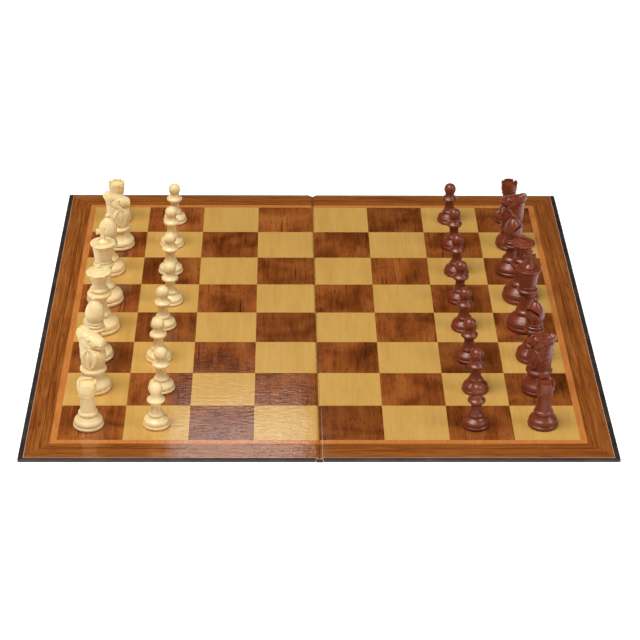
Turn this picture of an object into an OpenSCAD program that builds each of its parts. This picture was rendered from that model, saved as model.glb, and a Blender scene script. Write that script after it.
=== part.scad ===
// Folding game board with a full set of turned chess pieces, set up to play.
// Millimetres. The origin is on the table under the middle of the open board:
// +X to the right along the rows, +Y away from the front edge, +Z up.

/* [Board] */
// Side of one square of the playing field
square = 44; // [34:0.5:60]
// Border from the playing field to the board's edge
border = 24; // [16:0.5:40]
// Thickness of each grey-board panel
panel_t = 1.9; // [1.4:0.1:4]
// Thickness of the black covering paper
wrap_t = 0.3; // [0.2:0.05:0.6]
// Thickness of the printed label
label_t = 0.2; // [0.1:0.05:0.4]
// Covering paper left showing outside the label at the left and right edges
side_margin = 3.5; // [1:0.25:8]
// Covering paper left showing outside the label at the front and back edges
end_margin = 2; // [1:0.25:8]
// How far the covering paper is turned in over the panels' faces
turn_in = 15; // [10:1:30]

/* [Centre fold] */
// Thickness of the doubled covering paper along the gutter
spine_t = 0.6; // [0.3:0.05:1]
// Height of the fold lines above the paper in the gutter
fold_lift = 0.1; // [0.05:0.05:0.4]
// Space left between the two faces when the board is closed
closed_gap = 2; // [0.5:0.1:5]
// Gap between the gutter's paper and each half of the board
fold_gap = 0.2; // [0.1:0.05:0.5]

/* [Chessmen] */
// Wall of the hollow pieces
wall = 1.8; // [1:0.1:3]
// Height of the king to the top of the cross
king_h = 62.5; // [45:0.5:90]
// Diameter of the king's base
king_d = 28; // [20:0.5:36]
// Height of the queen
queen_h = 52.6; // [40:0.5:80]
// Diameter of the queen's base
queen_d = 28; // [20:0.5:36]
// Height of the bishops
bishop_h = 49; // [36:0.5:75]
// Diameter of the bishops' bases
bishop_d = 24.4; // [18:0.5:32]
// Height of the knights
knight_h = 47; // [34:0.5:70]
// Diameter of the knights' bases
knight_d = 24.4; // [18:0.5:32]
// Height of the rooks
rook_h = 34.3; // [26:0.5:56]
// Diameter of the rooks' bases
rook_d = 21.4; // [16:0.5:30]
// Height of the pawns
pawn_h = 33.1; // [22:0.5:50]
// Diameter of the pawns' bases
pawn_d = 19.2; // [14:0.5:28]

/* [Details] */
// Number of notches in a rook's battlement
rook_notches = 4; // [4:1:8]
// Width of each notch
notch_w = 2; // [1.5:0.1:4]
// Width of the cut in a bishop's mitre
mitre_cut_w = 1.6; // [0.6:0.1:2.5]
// Number of points round a queen's coronet
coronet_points = 9; // [6:1:14]
// Thickness of the king's cross
cross_t = 3.2; // [2:0.1:5]
// Thickness of a knight's head from cheek to cheek
knight_head_t = 10.4; // [7:0.2:15]

/* [Hidden] */
board_w = 8 * square + 2 * border;
stack_z = wrap_t + panel_t;
board_t = stack_z + label_t;
fold_z = spine_t + label_t + fold_lift;
gutter = 2 * (board_t - fold_z) + closed_gap;
eps = 0.01;
$fn = 64;

light_col = "#f3d7a4";
dark_col = "#6b3022";
light_kinds = ["rook", "knight", "bishop", "queen", "king", "bishop", "knight", "rook"];
dark_kinds = ["rook", "knight", "bishop", "king", "queen", "bishop", "knight", "rook"];

// How far each hand-set piece stands from the middle of its square, front row first
light_officer_set = [[-2, -3.5], [-2, 1.5], [-3.5, 1], [-3.5, -1.5], [-3.5, -3], [-3.5, 0], [1, -1], [-3, -2]];
light_pawn_set = [[0, -2.5], [1, 0.5], [-3, -1.5], [-2, 1.5], [1.5, -5], [-0.5, -1], [-1.5, 0], [-1, -2.5]];
dark_officer_set = [[-1.5, -2], [0, 0], [0.5, 0], [0, 2], [0.5, 1.5], [-2.5, 0], [1.5, 0], [3, 0]];
dark_pawn_set = [[-3.5, -3], [0, -0.5], [-1.5, -1.5], [-1.5, -0.5], [-1.5, -2], [-1, -2.5], [0, -2], [-0.5, -1]];
// Which way each officer is turned about its own axis, front row first
light_officer_turn = [0, -25, 90, 0, 0, 90, 12, 0];
dark_officer_turn = [0, 140, 225, 0, 0, 340, 150, 0];

// Outlines, from the underside up: radius, height, bulge of the arc that leads to the point
pawn_rows = [[8.7, 0, 0], [9.0, 2.3, .55], [8.6, 2.6, 0], [8.9, 3.1, .3], [8.0, 5.4, .2], [5.4, 7.3, -.1],
    [5.0, 7.7, 0], [4.9, 9.8, .4], [4.3, 10.4, 0], [3.5, 14.8, -.1], [4.1, 17.8, -.2], [5.5, 18.8, .2],
    [5.5, 21.1, .6], [3.9, 22.8, -.1], [3.4, 25.0, 0], [0, 33.1, .664]];
rook_rows = [[9.6, 0, 0], [9.9, 2.6, .55], [9.4, 2.9, 0], [9.9, 3.5, .3], [9.0, 6.0, .2], [6.9, 8.4, -.1],
    [6.4, 8.9, 0], [6.3, 11.8, .3], [5.5, 12.4, 0], [4.8, 23.6, -.03], [5.5, 24.2, 0], [5.5, 25.4, .5],
    [6.3, 27.4, -.1], [6.6, 34.3, 0], [5.0, 34.3, 0], [4.8, 31.8, 0], [0, 31.8, 0]];
bishop_rows = [[11.0, 0, 0], [11.5, 2.9, .55], [11.1, 3.2, 0], [11.6, 3.9, .3], [10.6, 6.6, .2],
    [7.6, 9.2, -.1], [6.8, 9.7, 0], [6.6, 12.8, .4], [5.6, 13.6, 0], [4.4, 16.6, -.1], [3.9, 20.0, -.08],
    [5.0, 22.2, -.2], [6.7, 22.8, 0], [6.7, 24.6, .55], [5.5, 25.2, 0], [6.0, 25.6, 0], [6.0, 27.2, .6],
    [5.3, 27.7, 0], [5.7, 28.0, 0], [5.7, 29.3, .6], [5.4, 29.9, 0], [6.9, 34.8, .12], [1.7, 45.6, .22],
    [1.0, 45.9, 0], [0, 49.0, .73]];
queen_rows = [[12.7, 0, 0], [13.2, 3.2, .55], [12.8, 3.6, 0], [13.3, 4.4, .3], [11.9, 7.8, .2],
    [8.2, 10.6, -.1], [7.4, 11.2, 0], [7.2, 14.4, .4], [6.2, 15.2, 0], [5.2, 18.6, -.1], [4.7, 22.5, -.04],
    [6.2, 25.6, -.1], [6.0, 26.8, .5], [5.2, 27.3, 0], [8.2, 27.9, .1], [8.2, 30.2, .6], [5.6, 31.2, 0],
    [6.4, 32.0, 0], [6.4, 33.6, .6], [5.4, 34.4, 0], [6.4, 41.8, -.25], [8.7, 45.4, -.2], [8.8, 47.2, .5],
    [6.4, 47.6, 0], [6.2, 48.3, .3], [3.4, 48.8, 0], [3.2, 49.6, .3], [1.3, 50.0, 0], [0, 52.6, .73]];
king_rows = [[12.7, 0, 0], [13.2, 3.2, .55], [12.8, 3.6, 0], [13.3, 4.4, .3], [11.9, 7.8, .2],
    [8.2, 10.6, -.1], [7.4, 11.2, 0], [7.2, 14.4, .4], [6.2, 15.2, 0], [5.3, 18.6, -.1], [4.9, 24.0, -.04],
    [5.7, 26.6, -.1], [5.7, 28.2, .5], [5.2, 28.9, 0], [7.0, 29.5, .1], [7.0, 31.8, .6], [5.5, 32.6, 0],
    [6.0, 33.0, 0], [6.0, 34.6, .6], [5.7, 35.4, 0], [8.3, 46.4, -.08], [9.0, 47.2, .2], [8.8, 48.8, .6],
    [7.8, 48.6, .2], [4.6, 48.2, 0], [3.2, 50.6, .3], [1.6, 52.0, 0], [0, 52.0, 0]];
knight_rows = [[11.1, 0, 0], [11.7, 2.9, .55], [11.3, 3.2, 0], [11.9, 3.9, .3], [10.9, 6.8, .2],
    [8.3, 10.4, -.1], [7.6, 13.9, -.05], [8.5, 14.6, 0], [8.5, 17.6, .6], [8.0, 18.4, 0], [0, 18.4, 0]];
// Reference height and base diameter that each outline is drawn at
pawn_ref = [33.1, 19.2];
rook_ref = [34.3, 21.4];
bishop_ref = [49, 24.4];
queen_ref = [52.6, 28];
king_ref = [62.5, 28];
knight_ref = [47, 24.4];
// Top radius and height, then shoulder radius and height, of the skin that each hollow follows
pawn_core = [[3.5, 14], [5.2, 8.6]];
rook_core = [[4.6, 28], [6.0, 10.6]];
bishop_core = [[3.9, 19], [6.0, 12]];
queen_core = [[4.7, 24], [6.9, 12.2]];
king_core = [[4.9, 26], [6.9, 12.2]];
knight_core = [[5.2, 30], [7.8, 13]];

officers = ["rook_front", "knight_front", "bishop_front", "", "", "bishop_back", "knight_back", "rook_back"];
function officer_name(side, kinds, i) =
    len(officers[i]) > 0 ? str(side, "_", officers[i]) : str(side, "_", kinds[i]);

// Points of the arc from p to q that stands out to the right of its way by bulge half-chords
function arc(p, q, bulge, n = 6) =
    abs(bulge) < eps ? [q] :
    let (
        c = norm(q - p),
        s = bulge * c / 2,
        rad = (c * c / 4 + s * s) / (2 * s),
        out = [(q - p)[1], -(q - p)[0]] / c,
        mid = (p + q) / 2 + out * (s - rad),
        half = 2 * atan(bulge),
        start = atan2((p - mid)[1], (p - mid)[0])
    )
    [for (k = [1:n]) mid + abs(rad) * [cos(start + 2 * half * k / n), sin(start + 2 * half * k / n)]];

// The outline's points, drawn at the wanted height and base diameter
function grown(rows, ref, h, d) =
    let (kr = d / ref[1], kz = h / ref[0], p = [for (v = rows) [v[0] * kr, v[1] * kz]])
    concat([p[0]], [for (i = [1:len(rows) - 1]) each arc(p[i - 1], p[i], rows[i][2])]);

// The hollow that is open underneath: a chamber in the base and a tapered bore up the stem
function hollow(core, ref, h, d) =
    let (kr = d / ref[1], kz = h / ref[0], top = core[0], sh = core[1])
    [[0, -eps], [d / 2 - 2 * wall, -eps], [d / 2 - 2 * wall, 3 * kz],
     [sh[0] * kr - wall, sh[1] * kz - wall], [top[0] * kr - wall, top[1] * kz], [0, top[1] * kz + wall / 2]];

module turned(rows, core, ref, h, d) {
    rotate_extrude()
        difference() {
            polygon(concat([[0, 0]], [for (p = grown(rows, ref, h, d)) [max(p[0], 0), p[1]]]));
            polygon(hollow(core, ref, h, d));
        }
}

module pawn() {
    turned(pawn_rows, pawn_core, pawn_ref, pawn_h, pawn_d);
}

// A round tower whose battlement is cut by radial notches
module rook() {
    notch_z = rook_h - 2.3;
    difference() {
        turned(rook_rows, rook_core, rook_ref, rook_h, rook_d);
        for (i = [0:rook_notches - 1])
            rotate([0, 0, (i + 0.5) * 360 / rook_notches])
                translate([2, -notch_w / 2, notch_z])
                    cube([rook_d / 2, notch_w, rook_h]);
    }
}

// A mitre on a ringed stem, with one slanting cut in its front
module bishop() {
    cut_z = 35.6 * bishop_h / bishop_ref[0];
    difference() {
        turned(bishop_rows, bishop_core, bishop_ref, bishop_h, bishop_d);
        translate([1.2, 0, cut_z])
            rotate([0, -46, 0])
                translate([0, -bishop_d / 2, -mitre_cut_w / 2])
                    cube([bishop_d / 2, bishop_d, mitre_cut_w]);
    }
}

// A cup that opens into a coronet whose rim is cut into points
module queen() {
    rim_z = 47.2 * queen_h / queen_ref[0];
    rim_r = 9.4 * queen_d / queen_ref[1];
    difference() {
        turned(queen_rows, queen_core, queen_ref, queen_h, queen_d);
        for (i = [0:coronet_points - 1])
            rotate([0, 0, i * 360 / coronet_points])
                translate([rim_r + 0.2, 0, rim_z - 1.2])
                    cylinder(h = 4, r = 1.3, $fn = 24);
    }
}

// Right half of a cross whose arms widen to their ends, from its foot up
cross_half = [[2.1, 51], [1.4, 54], [1.3, 56.3], [4.6, 55.5], [4.6, 59.6], [1.3, 58.8], [2.2, 62.5]];

module cross_outline(kr, kz) {
    right = [for (p = cross_half) [p[0] * kr, p[1] * kz]];
    polygon(concat(right, [for (i = [len(right) - 1:-1:0]) [-right[i][0], right[i][1]]]));
}

module king() {
    turned(king_rows, king_core, king_ref, king_h, king_d);
    translate([0, cross_t / 2, 0])
        rotate([90, 0, 0])
            linear_extrude(cross_t)
                cross_outline(king_d / king_ref[1], king_h / king_ref[0]);
}

// Side view of a horse's neck and head that faces +X, from the collar up
function horse_side() = concat(
    [[-7.4, 17.5], [7.0, 17.5]],
    arc([7.0, 17.5], [9.2, 27.0], 0.12),
    arc([9.2, 27.0], [3.8, 34.6], 0.25),
    [[5.6, 33.9], [7.6, 34.3]],
    arc([7.6, 34.3], [8.6, 39.4], 0.35),
    [[5.0, 41.9], [-1.0, 44.2], [-5.0, 45.2]],
    arc([-5.0, 45.2], [-7.4, 47.0], -0.2),
    arc([-7.4, 47.0], [-11.0, 44.5], 0.5),
    arc([-11.0, 44.5], [-10.2, 38.0], 0.2),
    arc([-10.2, 38.0], [-7.4, 17.5], -0.06));
// Half width of the neck and head against height
function horse_front() =
    [[6.6, 17.5], [7.6, 25], [6.4, 33], [knight_head_t / 2, 37], [knight_head_t / 2 - 0.6, 42],
     [knight_head_t / 2 - 1, 48]];

module knight() {
    kz = knight_h / knight_ref[0];
    kr = knight_d / knight_ref[1];
    side = [for (p = horse_side()) [p[0] * kr, p[1] * kz]];
    half = [for (p = horse_front()) [p[0] * kr, p[1] * kz]];
    turned(knight_rows, knight_core, knight_ref, knight_h, knight_d);
    difference() {
        intersection() {
            translate([0, knight_d / 2, 0])
                rotate([90, 0, 0])
                    linear_extrude(knight_d)
                        polygon(side);
            translate([-knight_d, 0, 0])
                rotate([90, 0, 90])
                    linear_extrude(2 * knight_d)
                        polygon(concat(half, [for (i = [len(half) - 1:-1:0]) [-half[i][0], half[i][1]]]));
        }
        rotate_extrude()
            polygon(hollow(knight_core, knight_ref, knight_h, knight_d));
        // the gap between the ears
        translate([-12 * kr, -0.9, 44.6 * kz])
            cube([6 * kr, 1.8, 6]);
        // the mouth
        translate([6.0 * kr, -knight_d / 2, 36.0 * kz])
            cube([6, knight_d, 0.7]);
        // strands of the mane
        for (i = [0:3], s = [-1, 1])
            translate([(-9.6 + 1.7 * i) * kr, s * 7.6 * kr, 20 * kz])
                cylinder(h = (20 - 2.5 * i) * kz, r = 0.5, $fn = 16);
    }
    for (s = [-1, 1])
        translate([1.2 * kr, s * (knight_head_t / 2 - 0.7), 40.6 * kz])
            sphere(r = 1.1, $fn = 24);
}

module chessman(kind) {
    if (kind == "pawn") pawn();
    if (kind == "rook") rook();
    if (kind == "knight") knight();
    if (kind == "bishop") bishop();
    if (kind == "queen") queen();
    if (kind == "king") king();
}

// Stands a piece on the middle of its square, moved by its hand-set offset
module on_square(column, row, offset = [0, 0], turn = 0) {
    translate([(column - 4.5) * square + offset[0], (row - 4.5) * square + offset[1], board_t])
        rotate([0, 0, turn])
            children();
}

// The left half lies between its outer edge and the gutter
half_w = (board_w - gutter) / 2;

module half_block(x_in, y_in, low, high) {
    translate([-board_w / 2 + x_in, -board_w / 2 + y_in, low])
        cube([half_w - x_in, board_w - 2 * y_in, high - low]);
}

module board_panel() {
    half_block(wrap_t, wrap_t, wrap_t, stack_z - wrap_t);
    half_block(turn_in, turn_in, stack_z - wrap_t - eps, stack_z);
}

module cover_wrap() {
    difference() {
        half_block(0, 0, 0, stack_z);
        translate([eps, 0, 0])
            half_block(wrap_t - eps, wrap_t, wrap_t, stack_z - wrap_t);
        translate([eps, 0, 0])
            half_block(turn_in - eps, turn_in, wrap_t, stack_z + eps);
    }
}

module printed_label() {
    half_block(side_margin, end_margin, stack_z, board_t);
}

module spine_strip(y_in, low, high) {
    w = gutter - 2 * fold_gap;
    translate([-w / 2, -board_w / 2 + y_in, low])
        cube([w, board_w - 2 * y_in, high - low]);
}

module left_board_panel() {
    color("#a89f8e") board_panel();
}
module right_board_panel() {
    color("#a89f8e") mirror([1, 0, 0]) board_panel();
}
module left_cover_wrap() {
    color("#231e1c") cover_wrap();
}
module right_cover_wrap() {
    color("#231e1c") mirror([1, 0, 0]) cover_wrap();
}
module left_printed_label() {
    color("#b8813f") printed_label();
}
module right_printed_label() {
    color("#b8813f") mirror([1, 0, 0]) printed_label();
}
module spine_cover_strip() {
    color("#231e1c") spine_strip(0, 0, spine_t);
}
module spine_label_strip() {
    color("#b8813f") spine_strip(end_margin, spine_t, spine_t + label_t);
}
module light_officer(i) {
    color(light_col) on_square(1, i + 1, light_officer_set[i], light_officer_turn[i]) chessman(light_kinds[i]);
}
module light_pawn(i) {
    color(light_col) on_square(2, i + 1, light_pawn_set[i]) chessman("pawn");
}
module dark_officer(i) {
    color(dark_col) on_square(8, i + 1, dark_officer_set[i], dark_officer_turn[i]) chessman(dark_kinds[i]);
}
module dark_pawn(i) {
    color(dark_col) on_square(7, i + 1, dark_pawn_set[i]) chessman("pawn");
}

left_board_panel();
right_board_panel();
left_cover_wrap();
right_cover_wrap();
left_printed_label();
right_printed_label();
spine_cover_strip();
spine_label_strip();
for (i = [0:7]) {
    light_officer(i);
    light_pawn(i);
    dark_officer(i);
    dark_pawn(i);
}
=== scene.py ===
"""A folding chessboard with its thirty-two moulded chessmen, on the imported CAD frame.

Lengths are in metres. Names ending in _mm are millimetres.
"""

import math

import bpy
import mathutils
import numpy as np
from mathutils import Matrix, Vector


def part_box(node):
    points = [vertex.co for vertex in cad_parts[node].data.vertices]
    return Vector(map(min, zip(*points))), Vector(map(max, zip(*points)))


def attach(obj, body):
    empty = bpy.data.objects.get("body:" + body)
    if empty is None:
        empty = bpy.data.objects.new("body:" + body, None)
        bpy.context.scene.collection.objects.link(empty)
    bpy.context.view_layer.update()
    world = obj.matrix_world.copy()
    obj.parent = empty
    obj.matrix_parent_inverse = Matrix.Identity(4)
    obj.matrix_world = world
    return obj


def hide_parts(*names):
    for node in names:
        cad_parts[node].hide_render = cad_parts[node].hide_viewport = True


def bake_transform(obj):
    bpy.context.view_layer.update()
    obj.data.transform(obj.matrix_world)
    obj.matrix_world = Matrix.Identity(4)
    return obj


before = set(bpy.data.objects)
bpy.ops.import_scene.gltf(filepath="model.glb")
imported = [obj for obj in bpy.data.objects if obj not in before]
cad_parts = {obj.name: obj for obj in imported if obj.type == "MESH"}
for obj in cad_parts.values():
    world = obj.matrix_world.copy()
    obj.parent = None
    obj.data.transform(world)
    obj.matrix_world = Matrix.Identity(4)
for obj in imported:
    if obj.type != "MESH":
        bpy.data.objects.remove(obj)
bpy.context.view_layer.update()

MM = 0.001
SQUARE = 44 * MM
FIELD = 4 * SQUARE  # from the middle of the board to the field's edge
INLAY = 4.5 * MM  # width of the orange line round the field
GROWTH_LINE = 10.5 * MM  # from the field out to the border veneer's darkest line
CUT_EDGE = 0.4 * MM  # width of the label's bare paper edge

label_low, label_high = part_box("left_printed_label")
TOP = label_high.z  # the playing face
LABEL_X, LABEL_Y = -label_low.x, -label_low.y
GUTTER = -label_high.x  # half the width of the gutter
wrap_low, wrap_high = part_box("left_cover_wrap")
BOARD = -wrap_low.x
STANDING_GAP = 0.02 * MM  # keeps a foot off the label while a half folds


# ---------------------------------------------------------------- shapes

def put_mesh(name, points, faces, material, sharp=40):
    """A closed mesh from arrays: points is (n, 3), faces is a list of index arrays of any width."""
    mesh = bpy.data.meshes.new(name)
    rows = [np.asarray(f, int).reshape(len(f), -1) for f in faces]
    mesh.from_pydata(np.asarray(points, float).tolist(), [], [r for f in rows for r in f.tolist()])
    mesh.validate()
    mesh.shade_smooth()
    mesh.set_sharp_from_angle(angle=math.radians(sharp))
    mesh.materials.append(material)
    piece = bpy.data.objects.new(name, mesh)
    bpy.context.scene.collection.objects.link(piece)
    return piece


def arc(p, q, bulge, n=14):
    """Points after p up to q on an arc whose swept angle's quarter has the tangent bulge.

    The arc stands out to the right of the way from p to q, which is outwards on the way up."""
    if abs(bulge) < 1e-6:
        return [q]
    sweep = 4 * math.atan(bulge)
    chord = np.subtract(q, p)
    heading = math.atan2(chord[1], chord[0])
    radius = np.hypot(*chord) / (2 * math.sin(sweep / 2))
    part = sweep * np.arange(1, n + 1) / n
    turn = heading - sweep / 2 + part / 2
    step = 2 * radius * np.sin(part / 2)
    return list(np.stack([p[0] + step * np.cos(turn), p[1] + step * np.sin(turn)], 1))


def evenly(path, spacing):
    """The path's points at equal steps of arc length, about spacing apart."""
    path = np.asarray(path, float)
    s = np.concatenate([[0], np.cumsum(np.hypot(*np.diff(path, axis=0).T))])
    at = np.linspace(0, s[-1], max(int(s[-1] / spacing), 8) + 1)
    return np.stack([np.interp(at, s, path[:, k]) for k in (0, 1)], 1)


def softened(path, radius, spacing):
    """Rounds a path's corners as a mould does: a running mean with a bell-shaped weight.

    Both ends lie on the axis, so each is carried on by its own mirror image before the mean."""
    n = int(4 * radius / spacing)
    flip = np.array([-1.0, 1.0])
    longer = np.concatenate([path[1:n + 1][::-1] * flip, path, path[-n - 1:-1][::-1] * flip])
    weight = np.exp(-0.5 * (np.arange(-n, n + 1) * spacing / radius) ** 2)
    weight /= weight.sum()
    out = np.stack([np.convolve(longer[:, k], weight, "valid") for k in (0, 1)], 1)
    out[[0, -1], 0] = 0
    return out


def thinned(path, longest, turn_deg):
    """Keeps points where the path has gone on by longest or turned by turn_deg, whichever is first."""
    d = np.diff(path, axis=0)
    ds = np.hypot(*d.T)
    heading = np.unwrap(np.arctan2(d[:, 1], d[:, 0]))
    turning = np.abs(np.diff(heading, prepend=heading[0]))
    measure = np.concatenate([[0], np.cumsum(ds / longest + turning / math.radians(turn_deg))])
    at = np.linspace(0, measure[-1], int(measure[-1]) + 1)
    out = np.stack([np.interp(at, measure, path[:, k]) for k in (0, 1)], 1)
    out[[0, -1], 0] = 0
    return out


def moulded_outline(rows, hollow, longest=1.1 * MM, turn_deg=11):
    """Outline of one hollow piece: up the open underside's walls, round the foot and up to the crown.

    rows are radius, height and bulge in mm, hollow is radius and height in mm from the top down."""
    path = [np.array(p, float) for p in hollow] + [np.array(rows[0][:2], float)]
    for r, z, bulge in rows[1:]:
        path += arc(path[-1], np.array([r, z], float), bulge)
    path = evenly(np.array(path) * MM, 0.08 * MM)
    return thinned(softened(path, 0.17 * MM, 0.08 * MM), longest, turn_deg)


def spun(path, angles):
    """Grid of the path turned about Z: arrays r, z and angle, one row for each point between the poles."""
    r, a = np.meshgrid(path[1:-1, 0], angles, indexing="ij")
    z = np.repeat(path[1:-1, 1][:, None], len(angles), 1)
    return r, z, a


def ring_quads(rings, count, turned_over=False):
    """Faces between neighbouring rings of count points each. turned_over faces them the other way."""
    i, j = np.meshgrid(np.arange(rings - 1), np.arange(count), indexing="ij")
    k = (j + 1) % count
    here, beyond = i * count, (i + 1) * count
    quads = np.stack([here + j, here + k, beyond + k, beyond + j], -1).reshape(-1, 4)
    return quads[:, [0, 3, 2, 1]] if turned_over else quads


def closed_spin(low, grid, high):
    """Points and faces of a grid of rings closed by one pole at each end."""
    m, n = grid.shape[:2]
    points = np.concatenate([[low], grid.reshape(-1, 3), [high]])
    j = np.arange(n)
    k = (j + 1) % n
    first = np.stack([0 * j, k + 1, j + 1], 1)
    last = np.stack([(m - 1) * n + j + 1, (m - 1) * n + k + 1, 0 * j + m * n + 1], 1)
    return points, [ring_quads(m, n) + 1, first, last]


def capped(grid, turned_over=False):
    """Points and faces of a stack of rings closed by a flat face at each end."""
    m, n = grid.shape[:2]
    first, last = np.arange(n)[::-1], np.arange(n)
    if turned_over:
        first, last = last, first
    return grid.reshape(-1, 3), [ring_quads(m, n, turned_over), [first], [last + (m - 1) * n]]


def joined(shells):
    """Several closed shells as one set of points and faces."""
    points, faces, shift = [], [], 0
    for p, f in shells:
        points.append(p)
        faces += [np.asarray(g) + shift for g in f]
        shift += len(p)
    return np.concatenate(points), faces


def placed(points, centre, turn_deg):
    """Points turned about Z and moved so that their origin stands on centre."""
    c, s = math.cos(math.radians(turn_deg)), math.sin(math.radians(turn_deg))
    turned = points @ np.array([[c, s, 0], [-s, c, 0], [0, 0, 1]])
    return turned + np.array(centre)


def smooth_step(x):
    """0 below 0, 1 above 1, and a smooth cubic between."""
    x = np.clip(x, 0, 1)
    return x * x * (3 - 2 * x)


def bell(x, width):
    """A bell of height 1 and half-width about width."""
    return np.exp(-(x / width) ** 2)


def plate(outline, thickness, edge):
    """A flat plate in the XZ plane with rounded edges: rings of the outline, drawn in by a quarter circle.

    Each ring is the outline shrunk towards its own inside by the arc's inset, and both faces are closed."""
    p = np.asarray(outline, float)
    ahead, back = np.roll(p, -1, 0) - p, p - np.roll(p, 1, 0)
    normal = lambda d: np.stack([d[:, 1], -d[:, 0]], 1) / np.hypot(*d.T)[:, None]
    out = normal(ahead) + normal(back)
    out /= (out * normal(ahead)).sum(1)[:, None]
    a = np.radians(np.linspace(0, 90, 5))
    inset = np.concatenate([edge * (1 - np.sin(a)), edge * (1 - np.cos(a))])
    depth = np.concatenate([-thickness / 2 + edge * (1 - np.cos(a)), thickness / 2 - edge * (1 - np.sin(a))])
    rings = np.stack([np.stack([p[:, 0] - i * out[:, 0], np.full(len(p), d), p[:, 1] - i * out[:, 1]], 1)
                      for i, d in zip(inset, depth)])
    return capped(rings, True)


# ---------------------------------------------------------------- chessmen

# radius, height and bulge from the foot up, in mm
PAWN = [(8.7, 0, 0), (9, 2.3, 0.55), (8.6, 2.6, 0), (8.9, 3.1, 0.3), (8, 5.4, 0.2), (5.4, 7.3, -0.1),
        (5, 7.7, 0), (4.9, 9.8, 0.4), (4.3, 10.4, 0), (3.5, 14.8, -0.1), (4.1, 17.8, -0.2), (5.5, 18.8, 0.2),
        (5.5, 21.1, 0.6), (3.9, 22.8, -0.1), (3.4, 25, 0), (0, 33.1, 0.664)]
ROOK = [(9.6, 0, 0), (9.9, 2.6, 0.55), (9.4, 2.9, 0), (9.9, 3.5, 0.3), (9, 6, 0.2), (6.9, 8.4, -0.1),
        (6.4, 8.9, 0), (6.3, 11.8, 0.3), (5.5, 12.4, 0), (4.8, 23.6, -0.03), (5.5, 24.2, 0),
        (5.5, 25.4, 0.5), (6.3, 27.4, -0.1), (6.6, 34.3, 0), (5, 34.3, 0), (4.8, 31.8, 0), (0, 31.8, 0)]
BISHOP = [(11, 0, 0), (11.5, 2.9, 0.55), (11.1, 3.2, 0), (11.6, 3.9, 0.3), (10.6, 6.6, 0.2),
          (7.6, 9.2, -0.1), (6.8, 9.7, 0), (6.6, 12.8, 0.4), (5.6, 13.6, 0), (4.4, 16.6, -0.1),
          (3.9, 20, -0.08), (5, 22.2, -0.2), (6.7, 22.8, 0), (6.7, 24.6, 0.55), (5.5, 25.2, 0), (6, 25.6, 0),
          (6, 27.2, 0.6), (5.3, 27.7, 0), (5.7, 28, 0), (5.7, 29.3, 0.6), (5.4, 29.9, 0), (6.9, 34.8, 0.12),
          (1.7, 45.6, 0.22), (1, 45.9, 0), (0, 49, 0.73)]
QUEEN = [(12.7, 0, 0), (13.2, 3.2, 0.55), (12.8, 3.6, 0), (13.3, 4.4, 0.3), (11.9, 7.8, 0.2),
         (8.2, 10.6, -0.1), (7.4, 11.2, 0), (7.2, 14.4, 0.4), (6.2, 15.2, 0), (5.2, 18.6, -0.1),
         (4.7, 22.5, -0.04), (6.2, 25.6, -0.1), (6, 26.8, 0.5), (5.2, 27.3, 0), (8.2, 27.9, 0.1),
         (8.2, 30.2, 0.6), (5.6, 31.2, 0), (6.4, 32, 0), (6.4, 33.6, 0.6), (5.4, 34.4, 0),
         (6.4, 41.8, -0.25), (8.7, 45.4, -0.2), (8.8, 47.2, 0.5), (6.4, 47.6, 0), (6.2, 48.3, 0.3),
         (3.4, 48.8, 0), (3.2, 49.6, 0.3), (1.3, 50, 0), (0, 52.6, 0.73)]
KING = [(12.7, 0, 0), (13.2, 3.2, 0.55), (12.8, 3.6, 0), (13.3, 4.4, 0.3), (11.9, 7.8, 0.2),
        (8.2, 10.6, -0.1), (7.4, 11.2, 0), (7.2, 14.4, 0.4), (6.2, 15.2, 0), (5.3, 18.6, -0.1),
        (4.9, 24, -0.04), (5.7, 26.6, -0.1), (5.7, 28.2, 0.5), (5.2, 28.9, 0), (7, 29.5, 0.1),
        (7, 31.8, 0.6), (5.5, 32.6, 0), (6, 33, 0), (6, 34.6, 0.6), (5.8, 35.4, 0), (6.7, 36.6, 0.35),
        (8.3, 46.4, -0.05),
        (9, 47.2, 0.2), (8.8, 48.8, 0.6), (7.8, 48.6, 0.2), (4.6, 48.2, 0), (3.2, 50.6, 0.3), (1.6, 52, 0),
        (0, 52, 0)]
KNIGHT = [(11.1, 0, 0), (11.7, 2.9, 0.55), (11.3, 3.2, 0), (11.9, 3.9, 0.3), (10.9, 6.8, 0.2),
          (8.3, 10.4, -0.1), (7.6, 13.9, -0.05), (8.5, 14.6, 0), (8.5, 17.6, 0.6), (8, 18.4, 0), (0, 18.4, 0)]

# radius and height of the open underside, in mm, from its top down to the foot
PAWN_HOLLOW = [(0, 15.3), (1.7, 14.0), (3.4, 6.8), (6.0, 3.0), (6.0, 0)]
ROOK_HOLLOW = [(0, 29.0), (2.8, 28.0), (4.2, 8.8), (7.1, 3.0), (7.1, 0)]
BISHOP_HOLLOW = [(0, 20.2), (2.1, 19.0), (4.2, 10.2), (8.6, 3.0), (8.6, 0)]
QUEEN_HOLLOW = [(0, 25.2), (2.9, 24.0), (5.1, 10.4), (10.4, 3.0), (10.4, 0)]
KING_HOLLOW = [(0, 27.2), (3.1, 26.0), (5.1, 10.4), (10.4, 3.0), (10.4, 0)]
KNIGHT_HOLLOW = [(0, 17.0), (3.0, 16.8), (6.0, 11.2), (8.6, 3.0), (8.6, 0)]

ROUND = np.radians(np.arange(0, 360, 5))
NOTCH_HALF_ANGLE = 0.1725  # radians, half of a 2 mm notch at the rook's mean crown radius of 5.8 mm


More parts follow.
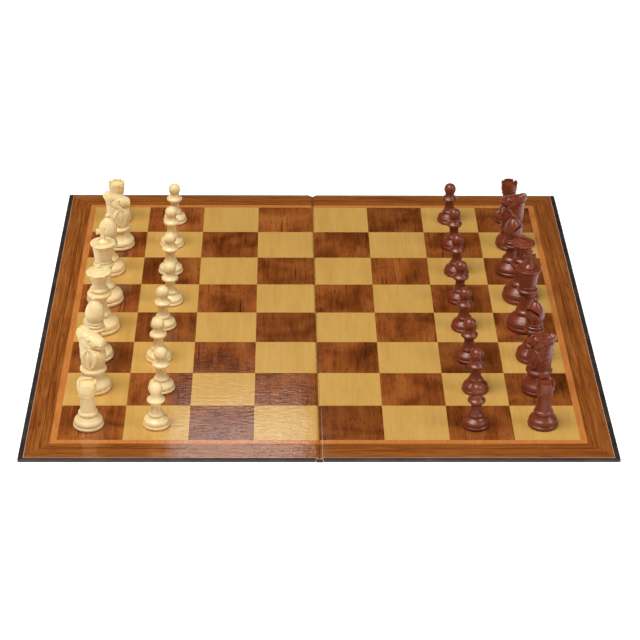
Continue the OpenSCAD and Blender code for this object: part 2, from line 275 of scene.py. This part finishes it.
def spin_shell(rows, hollow, angles=ROUND, change=None, longest=1.1 * MM, turn_deg=11):
    """A turned hollow piece as one closed shell. change moves the grid's radii and heights."""
    path = moulded_outline(rows, hollow, longest, turn_deg)
    r, z, a = spun(path, angles)
    outer = np.arange(len(path) - 2)[:, None] > np.argmin(path[1:-1, 1] - 1e-3 * path[1:-1, 0])
    if change:
        r, z = change(r, z, a, outer)
    grid = np.stack([r * np.cos(a), r * np.sin(a), z], -1)
    return closed_spin([0, 0, path[0, 1]], grid, [0, 0, path[-1, 1]])


def notched_angles(count, half_width):
    """Every 5 degrees, with a cluster of angles at both edges of each of count notches."""
    mid = (np.arange(count) + 0.5) * 360 / count
    edge = np.degrees(half_width)
    near = np.array([-1.6, -0.6, 0.6, 1.6])
    extra = (mid[:, None, None] + edge * np.array([-1, 1])[None, :, None] + near).ravel()
    every = np.arange(0, 360, 5.0)
    clear = np.abs((every[:, None] - extra + 180) % 360 - 180).min(1) > 1.2
    return np.radians(np.sort(np.concatenate([every[clear], extra])))


def battlement(r, z, a, outer):
    """Four notches 2 mm wide: inside them the crown's wall is drawn down to 2.3 mm under the rim."""
    quarter = (a / (math.pi / 2)) % 1 - 0.5
    notch = smooth_step(0.5 + (NOTCH_HALF_ANGLE - np.abs(quarter) * math.pi / 2) / math.radians(1.4))
    floor = 32.0 * MM
    crown = outer & (z > floor) & (r > 4.2 * MM)
    low = floor + (z - floor) * 0.05
    return r, np.where(crown, z + (low - z) * notch, z)


def mitre_cut(r, z, a, outer):
    """A slanting cut in the mitre's front half, whose plane rises outwards at 46 degrees.

    A point is in the cut where |(z - middle) cos 46 - (x - 1.2 mm) sin 46| is under half its width of 1.6 mm.
    The cut's floor is the plane 2.2 mm in front of the axis."""
    slope, middle, half_width, floor_x = math.radians(46), 35.6 * MM, 0.8 * MM, 2.2 * MM
    x = r * np.cos(a)
    across = (z - middle) * math.cos(slope) - (x - 1.2 * MM) * math.sin(slope)
    inside = smooth_step(0.5 + (half_width - np.abs(across)) / (0.3 * MM))
    floor = np.where(np.cos(a) > 0.05, floor_x / np.maximum(np.cos(a), 0.05), r)
    deep = np.minimum(r, floor)
    where = outer & (z > 30.5 * MM) & (z < 45.4 * MM)
    return np.where(where, r + (deep - r) * inside, r), z


def coronet(r, z, a, outer):
    """Nine shallow scallops round the coronet's rim, deepest at the rim and gone 3 mm under it."""
    scallop = np.clip(np.cos(9 * a), 0, 1) ** 2
    near = smooth_step((z - 44.0 * MM) / (2.6 * MM)) * smooth_step((r - 6.9 * MM) / (1.0 * MM))
    near = near * outer * (z < 47.9 * MM)
    return r - 0.85 * MM * scallop * near, z


CROSS = [(2.1, 51.0), (1.5, 53.6), (1.3, 56.3), (4.5, 55.5), (4.8, 57.5), (4.5, 59.6), (1.3, 58.8),
         (2.2, 62.3), (0, 62.5)]


def cross_shell():
    """The king's cross: a plate 3.2 mm thick whose four arms widen to their ends, with rounded edges."""
    right = np.array(CROSS)
    left = right[:-1][::-1] * [-1, 1]
    return plate(np.concatenate([right, left]) * MM, 3.2 * MM, 0.45 * MM)


def through(stations, n):
    """Smooth curve through the given stations: cubic pieces whose slopes follow the neighbouring stations."""
    p = np.asarray(stations, float)
    slope = np.gradient(p, axis=0)
    t = np.linspace(0, len(p) - 1, n)
    i = np.minimum(t.astype(int), len(p) - 2)
    f = (t - i)[:, None]
    h1, h2 = 2 * f ** 3 - 3 * f ** 2 + 1, f ** 3 - 2 * f ** 2 + f
    return h1 * p[i] + h2 * slope[i] + (1 - h1) * p[i + 1] + (f ** 3 - f ** 2) * slope[i + 1]


# the horse from collar to muzzle: back x z, front x z, half-width and squareness, in mm
HORSE = [(-7.9, 17.6, 7.4, 17.6, 6.7, 2.2), (-8.3, 21.5, 8.6, 21.3, 6.9, 2.3),
         (-8.6, 25.8, 9.4, 25.3, 7.1, 2.4), (-8.8, 30.4, 9.1, 28.9, 6.9, 2.5),
         (-9, 35.2, 7.6, 31.6, 6.3, 2.6), (-9.5, 39.4, 5.6, 33, 5.9, 2.6),
         (-11, 43.4, 4.6, 33.4, 5.6, 2.5), (-10, 46.6, 4.3, 33.4, 5.3, 2.5),
         (-7.2, 46.9, 4.5, 33.2, 5.2, 2.5), (-4.6, 45.6, 5, 33, 5.2, 2.6),
         (-1.2, 44.3, 5.8, 32.9, 5.1, 2.7), (2.2, 43, 6.8, 32.9, 4.8, 2.7), (5.2, 41.8, 7.8, 33, 4.4, 2.8),
         (7.7, 40.6, 8.8, 33.4, 4, 2.9), (9, 39.5, 9.4, 34.6, 3.4, 2.6), (9.55, 38, 9.65, 36, 1.8, 2.2)]


def horse_shell(rings=190, sides=144):
    """The knight's neck and head.

    Each ring spans from the crest to the throat, with a rounded-square section, and the rings swing from level
    at the collar to upright at the muzzle. The relief is pushed out along the surface's own normals: ears,
    mane strands, cheek, eye, nostril, mouth and the ribbed leaf on each side."""
    s = through(HORSE, rings)
    back, front, wide, power = s[:, None, 0:2], s[:, None, 2:4], s[:, 4][:, None], s[:, 5][:, None]
    a = np.linspace(0, 2 * math.pi, sides, endpoint=False)[None]
    ca, sa = np.cos(a), np.sin(a)
    cr = np.sign(ca) * np.abs(ca) ** (2 / power)
    sr = np.sign(sa) * np.abs(sa) ** (2 / power)
    xz = (back + front) / 2 + (front - back) / 2 * cr[..., None]
    g = np.stack([xz[..., 0], wide * sr, xz[..., 1]], -1)
    x, y, z = g[..., 0], g[..., 1], g[..., 2]
    side = smooth_step((np.abs(y) - 0.35 * wide) / (0.4 * wide))
    u = np.linspace(0, 1, rings)[:, None]

    # leaf on each side of the neck, round at the top and pointed at the collar, its three ribs meeting below
    t = np.clip((z - 17.7) / 16.4, 0, 1)
    half = 6.4 * np.clip(np.sin(math.pi * t ** 1.3), 0, 1) ** 0.72 + 1e-6
    mid = 1.6 - 0.05 * (z - 18)
    across = np.abs(x - mid) / half
    leaf = smooth_step((half - np.abs(x - mid)) / 0.7) * (t > 0) * (t < 1)
    groove = np.sin(1.5 * math.pi * across) ** 2 * (across < 0.92)
    lift = side * leaf * (1.25 - 1.0 * groove * smooth_step((t - 0.1) / 0.2) * smooth_step((1 - t) / 0.12))
    # soft cheek with a groove along its rear edge, and one fold under it
    d = np.hypot((x - 0.8) / 1.25, z - 38.3)
    lift += side * (0.7 * smooth_step((4.8 - d) / 2.2) - 0.28 * bell(d - 5.4, 0.8) * (z < 41.5))
    lift -= side * 0.3 * bell(d - 7.4, 0.7) * smooth_step((36.5 - z) / 2) * (x > -5)
    # eye in its socket, under a brow
    e = np.hypot(x - 0.2, z - 41.3)
    brow = np.hypot((x - 0.1) / 2.2, z - 43.0)
    lift += side * (0.75 * bell(e, 0.85) - 0.55 * bell(e - 1.6, 0.5)) + side * 0.45 * bell(brow, 0.8)
    # muzzle: swollen end, nostril and mouth
    lift += side * 0.5 * bell(np.hypot(x - 7.2, z - 37.6), 2.2)
    lift -= side * 0.6 * bell(np.hypot((x - 7.9) / 1.2, z - 38.6), 0.6)
    mouth = np.abs((z - 36.3) - 0.12 * (x - 7.0))
    lift -= 0.5 * bell(mouth, 0.4) * smooth_step((x - 4.6) / 1.0)
    # faint strands of the mane, slanting back and down along the crest
    from_back = np.hypot(*(xz - back).transpose(2, 0, 1))
    mane = smooth_step((4.4 - from_back) / 1.4)
    mane = mane * smooth_step((u - 0.02) / 0.05) * (1 - smooth_step((u - 0.40) / 0.05))
    mane *= smooth_step((np.abs(y) - 0.25 * wide) / (0.3 * wide))
    lift += mane * (0.1 - 0.26 * np.abs(np.sin(math.pi * (u * 15 + from_back * 0.22))) ** 3)
    # ears: the crown is parted in the middle and each side is drawn up
    ear = bell(np.hypot(x + 9.0, z - 46.4), 2.6)
    part = bell(y, 1.0)

    gu, ga = np.gradient(g, axis=0), np.roll(g, -1, 1) - np.roll(g, 1, 1)
    normal = np.cross(ga, gu)
    normal /= np.linalg.norm(normal, axis=-1, keepdims=True) + 1e-12
    g = g + normal * lift[..., None]
    g[..., 2] -= 1.6 * ear * part
    g[..., 2] += 0.2 * ear * bell(np.abs(y) - 2.6, 1.4)
    g[..., 2] = np.minimum(g[..., 2], 47.0)
    low, high = g[0].mean(0), g[-1].mean(0) + [0.12, 0, 0]
    points, faces = closed_spin(low, g, high)
    return points * MM, faces


def make_chessman(name, kind, turn, material):
    """One finished chessman in place of the CAD node of the same name."""
    low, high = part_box(name)
    if kind == "pawn":
        shells = [spin_shell(PAWN, PAWN_HOLLOW)]
    elif kind == "rook":
        shells = [spin_shell(ROOK, ROOK_HOLLOW, notched_angles(4, NOTCH_HALF_ANGLE), battlement)]
    elif kind == "bishop":
        fine = np.radians(np.arange(0, 360, 2.5))
        shells = [spin_shell(BISHOP, BISHOP_HOLLOW, fine, mitre_cut, 0.45 * MM, 10)]
    elif kind == "queen":
        shells = [spin_shell(QUEEN, QUEEN_HOLLOW, np.radians(np.arange(0, 360, 4)), coronet, 0.9 * MM)]
    elif kind == "king":
        shells = [spin_shell(KING, KING_HOLLOW, np.radians(np.arange(0, 360, 4))), cross_shell()]
    else:
        shells = [spin_shell(KNIGHT, KNIGHT_HOLLOW), horse_shell()]
    points, faces = joined(shells)
    centre = ((low.x + high.x) / 2, (low.y + high.y) / 2, low.z + STANDING_GAP)
    piece = put_mesh("look_" + name, placed(points, centre, turn), faces, material, 50)
    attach(piece, name)
    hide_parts(name)
    return piece


# ---------------------------------------------------------------- materials

def linear(code):
    """A hex colour as linear red, green, blue and alpha."""
    c = [int(code[i:i + 2], 16) / 255 for i in (1, 3, 5)]
    return [v / 12.92 if v <= 0.04045 else ((v + 0.055) / 1.055) ** 2.4 for v in c] + [1.0]


class Finish:
    """A material under construction. add() makes a node with its settings and links."""

    def __init__(self, name):
        self.material = bpy.data.materials.new(name)
        self.material.use_nodes = True
        self.tree = self.material.node_tree
        self.shader = self.tree.nodes["Principled BSDF"]

    def add(self, kind, settings=None, **links):
        """kind is the node's type without ShaderNode. settings go on the node, and links go by socket."""
        node = self.tree.nodes.new("ShaderNode" + kind)
        for key, value in (settings or {}).items():
            setattr(node, key, value)
        self.feed(node, links)
        return node

    def feed(self, node, links):
        """Sets or links inputs. in0, in1 and so on are sockets by number, and _ in a name is a space."""
        for key, value in links.items():
            numbered = key[:2] == "in" and key[2:].isdigit()
            socket = node.inputs[int(key[2:]) if numbered else key.replace("_", " ")]
            if isinstance(value, bpy.types.NodeSocket):
                self.tree.links.new(value, socket)
            elif isinstance(value, bpy.types.Node):
                self.tree.links.new(value.outputs[0], socket)
            else:
                socket.default_value = value
        return node

    def ramp(self, factor, stops):
        """A colour ramp with hex stops, or greys where a stop is a number."""
        node = self.add("ValToRGB", Fac=factor)
        while len(node.color_ramp.elements) < len(stops):
            node.color_ramp.elements.new(0.5)
        for element, (at, colour) in zip(node.color_ramp.elements, stops):
            element.position = at
            element.color = linear(colour) if isinstance(colour, str) else [colour] * 3 + [1]
        return node


def worked(f, operation, *values):
    """A Math node. values are its inputs in the node's own order, as sockets, nodes or numbers."""
    return f.add("Math", {"operation": operation}, **{f"in{n}": value for n, value in enumerate(values)})


def ranged(f, value, start, end, first, last):
    """first below start, last above end, and evenly between."""
    return f.add("MapRange", Value=value, in1=start, in2=end, in3=first, in4=last)


def mixed(f, factor, a, b, blend="MIX"):
    """The colour a where factor is 0 and b where it is 1."""
    node = f.add("Mix", {"data_type": "RGBA", "blend_type": blend})
    f.feed(node, {"in0": factor, "in6": a, "in7": b})
    return node.outputs[2]


def moulded_plastic(name, colour, shade, roughness, bump_mm, scatter):
    """Injection-moulded polystyrene: even colour with a faint flow mottle, a soft wavy skin from the mould
    and fine scuffs that dull the gloss a little."""
    f = Finish(name)
    at = f.add("TexCoord").outputs["Object"]
    mottle = f.add("TexNoise", Vector=at, Scale=160.0, Detail=3.0, Roughness=0.6)
    f.feed(f.shader, {"Base_Color": f.ramp(mottle, [(0.25, shade), (0.6, colour)]).outputs[0]})
    scuff = f.add("TexNoise", Vector=at, Scale=520.0, Detail=4.0, Roughness=0.65)
    spread = ranged(f, scuff, 0.3, 0.75, roughness * 0.8, roughness * 1.35)
    skin = f.add("TexNoise", Vector=at, Scale=330.0, Detail=2.0, Roughness=0.5)
    bump = f.add("Bump", Strength=1.0, Distance=bump_mm * MM, Height=skin.outputs[0])
    f.feed(f.shader, {"Roughness": spread, "Normal": bump})
    f.shader.inputs["IOR"].default_value = 1.55
    if scatter:
        f.shader.inputs["Subsurface Weight"].default_value = scatter
        f.shader.inputs["Subsurface Radius"].default_value = (1.0, 0.6, 0.3)
        f.shader.inputs["Subsurface Scale"].default_value = 1.2 * MM
    return f.material


def leatherette(name):
    """Black embossed bookbinding paper: pebbles about 0.8 mm across, browned and dulled where handled."""
    f = Finish(name)
    at = f.add("TexCoord").outputs["Object"]
    pebble = f.add("TexVoronoi", {"feature": "SMOOTH_F1"}, Vector=at, Scale=1300.0)
    worn = f.add("TexNoise", Vector=at, Scale=45.0, Detail=6.0, Roughness=0.7)
    colour = f.ramp(worn, [(0.35, "#231d1a"), (0.55, "#352c27"), (0.75, "#54473d")])
    f.feed(f.shader, {"Base_Color": colour.outputs[0],
                      "Roughness": ranged(f, worn, 0.0, 1.0, 0.38, 0.6),
                      "Normal": f.add("Bump", Strength=0.6, Distance=0.08 * MM, Height=pebble.outputs[0])})
    return f.material


def chipboard(name):
    """Raw grey board at the panels' edges: pulp flecks about 1 mm long."""
    f = Finish(name)
    at = f.add("TexCoord").outputs["Object"]
    fleck = f.add("TexNoise", Vector=at, Scale=900.0, Detail=5.0, Roughness=0.7)
    colour = f.ramp(fleck, [(0.3, "#6f685b"), (0.5, "#948b7a"), (0.7, "#b5ac99")])
    f.feed(f.shader, {"Base_Color": colour.outputs[0], "Roughness": 0.9,
                      "Normal": f.add("Bump", Strength=0.5, Distance=0.1 * MM, Height=fleck.outputs[0])})
    return f.material


def wood_print(name):
    """Gloss-coated paper printed with wood veneers: walnut and maple squares, an orange inlay line and a
    brown border mitred at the corners. Grain runs along Y in the field and along each side in the border."""
    f = Finish(name)
    at = f.add("TexCoord").outputs["Object"]
    place = f.add("SeparateXYZ", Vector=at)
    x, y, z = place.outputs
    ax, ay = worked(f, "ABSOLUTE", x), worked(f, "ABSOLUTE", y)
    ring = worked(f, "MAXIMUM", ax, ay)

    # which square, and a number of its own for each
    column, row = (worked(f, "FLOOR", worked(f, "MULTIPLY_ADD", way, 1 / SQUARE, 4.0)) for way in (x, y))
    parity = worked(f, "FLOORED_MODULO", worked(f, "ADD", column, row), 2.0)
    cell = f.add("CombineXYZ", X=column, Y=row)
    own = f.add("TexWhiteNoise", {"noise_dimensions": "3D"}, Vector=cell)
    shift = f.add("VectorMath", {"operation": "MULTIPLY_ADD"})
    f.feed(shift, {"in0": own.outputs["Color"], "in1": (0.7, 0.7, 0.7), "in2": at})

    def grain(vector, across, along, turn, detail=5.0, distortion=0.0):
        """Noise drawn out along the grain. across and along are sizes in mm, turn is 90 for grain along X."""
        scale = (1 / (across * MM), 1 / (along * MM), 1.0)
        if turn:
            scale = (scale[1], scale[0], 1.0)
        mapping = f.add("Mapping", Vector=vector, Scale=scale)
        noise = f.add("TexNoise", Vector=mapping, Scale=1.0, Detail=detail, Roughness=0.62,
                      Distortion=distortion)
        return noise.outputs[0]

    wide = grain(shift, 11, 60, 0, 3, 0.6)
    fine = grain(shift, 1.5, 40, 0, 6, 0.5)
    pores = grain(shift, 0.5, 5.5, 0, 2)
    cloud = f.add("TexNoise", Vector=shift, Scale=24.0, Detail=2.0, Roughness=0.5, Distortion=0.8).outputs[0]
    # walnut squares: orange-brown with dark heartwood clouds, near-black streaks and short pores
    body = mixed(f, 0.2, mixed(f, 0.6, wide, cloud), fine)
    walnut = f.ramp(body, [(0.33, "#48200b"), (0.43, "#773b16"), (0.53, "#9b5424"), (0.66, "#b26b2f")])
    dark_pores = f.ramp(pores, [(0.30, 0.8), (0.42, 0.0)]).outputs[0]
    walnut = mixed(f, dark_pores, walnut.outputs[0], linear("#260f06"))
    streak = f.ramp(grain(shift, 2.6, 70, 0, 2), [(0.27, 0.7), (0.36, 0.0)]).outputs[0]
    walnut = mixed(f, streak, walnut, linear("#2b1208"))
    tone = ranged(f, own.outputs["Value"], 0.0, 1.0, 0.74, 1.1)
    walnut = mixed(f, 1.0, walnut, tone, "MULTIPLY")
    # maple squares: straw yellow, almost plain
    maple = f.ramp(mixed(f, 0.45, wide, fine), [(0.25, "#c6964a"), (0.5, "#d3a456"), (0.75, "#dcae60")])
    faint_pores = f.ramp(pores, [(0.27, 0.2), (0.38, 0.0)]).outputs[0]
    maple = mixed(f, faint_pores, maple.outputs[0], linear("#b08139"))
    field = mixed(f, parity, walnut, maple)

    # border: one veneer along each side, cut to a mitre, with one darker growth line
    def veneer(turn, seed):
        """Brown veneer with dark lines along its grain. seed moves it to another part of the sheet."""
        moved = f.add("Mapping", Vector=at, Location=(seed, seed * 0.7, 0.0))
        body = mixed(f, 0.55, grain(moved, 5, 110, turn, 4, 0.6), grain(moved, 1.0, 34, turn, 6, 0.3))
        tone = f.ramp(body, [(0.32, "#5e2b0c"), (0.44, "#8a4a1c"), (0.56, "#a5622a"), (0.70, "#b97838")])
        line = f.ramp(grain(moved, 0.6, 18, turn, 2), [(0.32, 0.75), (0.42, 0.0)])
        return mixed(f, line.outputs[0], tone.outputs[0], linear("#451d0a"))

    waver = ranged(f, grain(at, 60, 60, 0, 1), 0.0, 1.0, -1.2 * MM, 1.2 * MM)
    from_line = worked(f, "SUBTRACT", worked(f, "ADD", ring, waver), FIELD + GROWTH_LINE)
    growth = ranged(f, worked(f, "ABSOLUTE", from_line), 0.1 * MM, 0.7 * MM, 0.55, 0.0)
    upright = worked(f, "GREATER_THAN", ax, ay)
    border = mixed(f, upright, veneer(90, 0.31), veneer(0, 0.83))
    border = mixed(f, growth, border, linear("#4a200c"))
    redder = ranged(f, x, -BOARD, BOARD, 0.0, 0.2)
    border = mixed(f, redder, border, linear("#7c3f1e"))
    inlay = f.ramp(grain(at, 0.8, 14, 0, 3), [(0.3, "#bf6f30"), (0.7, "#d58a48")]).outputs[0]

    colour = mixed(f, worked(f, "GREATER_THAN", ring, FIELD), field, inlay)
    colour = mixed(f, worked(f, "GREATER_THAN", ring, FIELD + INLAY), colour, border)

    # pink-white cut edge of the paper and its sides
    cut_x = worked(f, "GREATER_THAN", ax, LABEL_X - CUT_EDGE)
    cut_y = worked(f, "GREATER_THAN", ay, LABEL_Y - CUT_EDGE)
    colour = mixed(f, worked(f, "MAXIMUM", cut_x, cut_y), colour, linear("#c79a80"))
    # a jagged crack line along the fold, with white fibres on both lips
    along = f.add("CombineXYZ", Y=y)
    zigzag = f.add("TexNoise", Vector=along, Scale=210.0, Detail=4.0, Roughness=0.7).outputs[0]
    lip = worked(f, "ABSOLUTE", worked(f, "ADD", x, ranged(f, zigzag, 0.25, 0.75, -1.0 * MM, 1.0 * MM)))
    torn = ranged(f, lip, 0.1 * MM, 0.35 * MM, 0.65, 0.0)
    fibre = f.add("TexNoise", Vector=at, Scale=900.0, Detail=4.0, Roughness=0.75).outputs[0]
    patch = f.add("TexNoise", Vector=at, Scale=60.0, Detail=2.0).outputs[0]
    near = ranged(f, lip, 0.3 * MM, 1.1 * MM, 1.0, 0.0)
    frayed = f.ramp(worked(f, "ADD", fibre, patch), [(1.0, 0.0), (1.13, 0.85)]).outputs[0]
    white = worked(f, "MULTIPLY", near, frayed)
    colour = mixed(f, torn, colour, linear("#4a2614"))
    colour = mixed(f, white, colour, linear("#d9c3aa"))
    # painted shade: the print darkens towards dark brown where the label dips into the fold's valley, as shade in
    # the crease
    painted_crease_shade = ranged(f, z, TOP - 1.2 * MM, TOP - 0.1 * MM, 0.1, 0.0)
    colour = mixed(f, painted_crease_shade, colour, linear("#2a150b"))

    # orange-peel of the coating, drawn out to 8 mm along X and 2.6 mm along Y, over a slow wave in the board
    peel = grain(at, 2.6, 8, 90, 2)
    wave = f.add("TexNoise", Vector=at, Scale=22.0, Detail=1.0).outputs[0]
    lower = f.add("Bump", Strength=1.0, Distance=0.10 * MM, Height=wave)
    bump = f.add("Bump", Strength=1.0, Distance=0.065 * MM, Height=peel, Normal=lower)
    gloss = ranged(f, peel, 0.0, 1.0, 0.07, 0.11)
    f.feed(f.shader, {"Base_Color": colour, "Roughness": gloss, "Normal": bump})
    f.shader.inputs["IOR"].default_value = 1.48
    return f.material


CREAM = moulded_plastic("moulded_cream_polystyrene", "#fee2a8", "#fad898", 0.34, 0.012, 0.25)
BROWN = moulded_plastic("moulded_brown_polystyrene", "#843a1e", "#743017", 0.31, 0.010, 0.0)
COVER = leatherette("black_leatherette_paper")
BOARD_EDGE = chipboard("raw_grey_chipboard")
PRINT = wood_print("gloss_coated_veneer_print")


# ---------------------------------------------------------------- board

def half_cover(name, side, body):
    """The cover paper round one panel: a slab whose edges turn over with a 0.5 mm radius.

    Rings follow a rectangle with rounded corners, drawn in along a quarter circle at both edges."""
    inner, outer, far = GUTTER - 0.06 * MM, BOARD, -wrap_low.y
    quarter = np.radians(np.linspace(0, 90, 7))
    corner, least_corner, edge = 1.0 * MM, 0.3 * MM, 0.5 * MM

    def ring(inset, z):
        hx, hy = (outer - inner) / 2 - inset, far - inset
        r = max(corner - inset, least_corner)
        corners = [(1, 1, 0), (-1, 1, 90), (-1, -1, 180), (1, -1, 270)]
        points = [np.stack([sx * (hx - r) + r * np.cos(quarter + math.radians(t)),
                            sy * (hy - r) + r * np.sin(quarter + math.radians(t)), np.full(7, z)], 1)
                  for sx, sy, t in corners]
        return np.concatenate(points) + [(outer + inner) / 2 * side, 0, 0]

    a = np.radians(np.linspace(0, 90, 6))
    top = wrap_high.z
    rings = [ring(edge * (1 - math.sin(t)), edge * (1 - math.cos(t))) for t in a]
    rings += [ring(edge * (1 - math.cos(t)), top - edge * (1 - math.sin(t))) for t in a]
    piece = put_mesh(name, *capped(np.stack(rings)), COVER, 30)
    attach(piece, body)
    return piece


def gutter_paper(name, side):
    """Half of the creased label in the gutter, from the half's edge down to the fold.

    Its height is TOP - depth * exp(-(x / width)^2): flat at the panel's edge, a narrow valley at the fold."""
    depth, width, underside = 1.0 * MM, 0.9 * MM, 0.64 * MM
    x = side * GUTTER * (1 - np.linspace(0, 1, 19))
    top = TOP - depth * bell(x, width)
    base = np.full_like(x, underside)
    section = np.concatenate([np.stack([x, top], 1), np.stack([x, base], 1)[::-1]])
    if side > 0:
        section = section[::-1]
    ys = np.linspace(-LABEL_Y, LABEL_Y, 120)
    n = len(section)
    grid = np.stack([np.repeat(section[None, :, 0], len(ys), 0), np.repeat(ys[:, None], n, 1),
                     np.repeat(section[None, :, 1], len(ys), 0)], -1)
    piece = put_mesh(name, *capped(grid, True), PRINT, 40)
    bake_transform(piece)
    return piece


for word, side in (("left", -1), ("right", 1)):
    cover = half_cover(f"{word}_cover_paper", side, f"{word}_half")
    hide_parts(f"{word}_cover_wrap")
    strip = gutter_paper(f"{word}_gutter_label", side)
    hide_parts("spine_label_strip")
    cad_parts[f"{word}_printed_label"].material_slots[0].material = PRINT
    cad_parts[f"{word}_board_panel"].material_slots[0].material = BOARD_EDGE
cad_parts["spine_cover_strip"].material_slots[0].material = COVER


# ---------------------------------------------------------------- set up to play

LIGHT_OFFICERS = [("rook_front", 0), ("knight_front", -25), ("bishop_front", 90), ("queen", 0),
                  ("king", 0), ("bishop_back", 90), ("knight_back", 12), ("rook_back", 0)]
DARK_OFFICERS = [("rook_front", 0), ("knight_front", 140), ("bishop_front", 225), ("king", 0),
                 ("queen", 0), ("bishop_back", 340), ("knight_back", 150), ("rook_back", 0)]

for side_name, officers, material, slot_name in (("light", LIGHT_OFFICERS, CREAM, "cream_plastic"),
                                                 ("dark", DARK_OFFICERS, BROWN, "brown_plastic")):
    for title, turn in officers:
        make_chessman(f"{side_name}_{title}", title.split("_")[0], turn, material)
    for number in range(1, 9):
        make_chessman(f"{side_name}_pawn_{number}", "pawn", 0, material)


# ---------------------------------------------------------------- studio

paper = Finish("white_background_paper")
fibre = paper.add("TexNoise", Vector=paper.add("TexCoord").outputs["Object"], Scale=60.0, Detail=3.0)
white = paper.ramp(fibre, [(0.3, "#fdfdfd"), (0.7, "#ffffff")]).outputs[0]
paper.feed(paper.shader, {"Base_Color": white, "Roughness": 0.9,
                          "Emission_Color": linear("#ffffff"), "Emission_Strength": 0.6})
reach, floor_z = 6, -0.02 * MM
corners = [(-reach, -reach, floor_z), (reach, -reach, floor_z), (reach, reach, floor_z), (-reach, reach, floor_z)]
floor = put_mesh("floor", np.array(corners), [[(0, 1, 2, 3)]], paper.material)

world = bpy.data.worlds.new("studio_room")
world.use_nodes = True
sky = world.node_tree
direction = sky.nodes.new("ShaderNodeTexCoord")
parts = sky.nodes.new("ShaderNodeSeparateXYZ")
fall = sky.nodes.new("ShaderNodeMapRange")
# white ceiling and front wall. The wall behind the board is grey up to 40 degrees, so the gloss stays clear
front = sky.nodes.new("ShaderNodeMapRange")
light = sky.nodes.new("ShaderNodeMath")
light.operation = "MAXIMUM"
fall.interpolation_type = front.interpolation_type = "SMOOTHSTEP"
for node, source, values in ((fall, 2, (0.52, 0.86, 0.08, 1.6)), (front, 1, (0.0, -0.5, 0.08, 3.2))):
    for number, value in enumerate(values, 1):
        node.inputs[number].default_value = value
    sky.links.new(parts.outputs[source], node.inputs[0])
sky.links.new(direction.outputs["Generated"], parts.inputs[0])
sky.links.new(fall.outputs[0], light.inputs[0])
sky.links.new(front.outputs[0], light.inputs[1])
sky.links.new(light.outputs[0], sky.nodes["Background"].inputs[1])
bpy.context.scene.world = world
bpy.context.scene.view_settings.view_transform = "Standard"


def softbox(name, place, look_at, size, power, tint="#ffffff"):
    """A rectangular studio lamp that faces look_at."""
    lamp = bpy.data.lights.new(name, "AREA")
    lamp.shape = "RECTANGLE"
    lamp.size, lamp.size_y = size
    lamp.energy = power
    lamp.color = linear(tint)[:3]
    holder = bpy.data.objects.new(name, lamp)
    bpy.context.scene.collection.objects.link(holder)
    holder.location = place
    away = np.subtract(place, look_at)
    holder.rotation_euler = mathutils.Vector(away.tolist()).to_track_quat("Z", "Y").to_euler()
    return holder


softbox("key_overhead", (-0.5, -0.4, 1.7), (0, 0, 0), (1.2, 0.9), 30)
softbox("fill_right", (1.5, -0.5, 1.2), (0, 0, 0), (0.8, 0.8), 10)
softbox("back_gloss", (-0.10, 1.75, 1.25), (0, 0, 0), (0.24, 0.10), 0.3)

camera = bpy.data.objects.new("camera", bpy.data.cameras.new("camera"))
bpy.context.scene.collection.objects.link(camera)
bpy.context.scene.camera = camera
camera.data.sensor_width = 36
camera.data.lens = 119.70
camera.data.clip_start, camera.data.clip_end = 0.05, 50
elevation, azimuth, roll = (math.radians(v) for v in (29.2812, -1.2062, 0.6587))
back = np.array([math.sin(azimuth) * math.cos(elevation), -math.cos(azimuth) * math.cos(elevation),
                 math.sin(elevation)])
right = np.cross(-back, [0, 0, 1])
right /= np.linalg.norm(right)
up = np.cross(right, -back)
right, up = math.cos(roll) * right + math.sin(roll) * up, -math.sin(roll) * right + math.cos(roll) * up
target = np.array([0.06997 * SQUARE, -0.2568 * SQUARE, TOP])
eye = target + back * 35.750 * SQUARE
turned_to = [[right[i], up[i], back[i], eye[i]] for i in range(3)]
camera.matrix_world = mathutils.Matrix(turned_to + [[0, 0, 0, 1]])
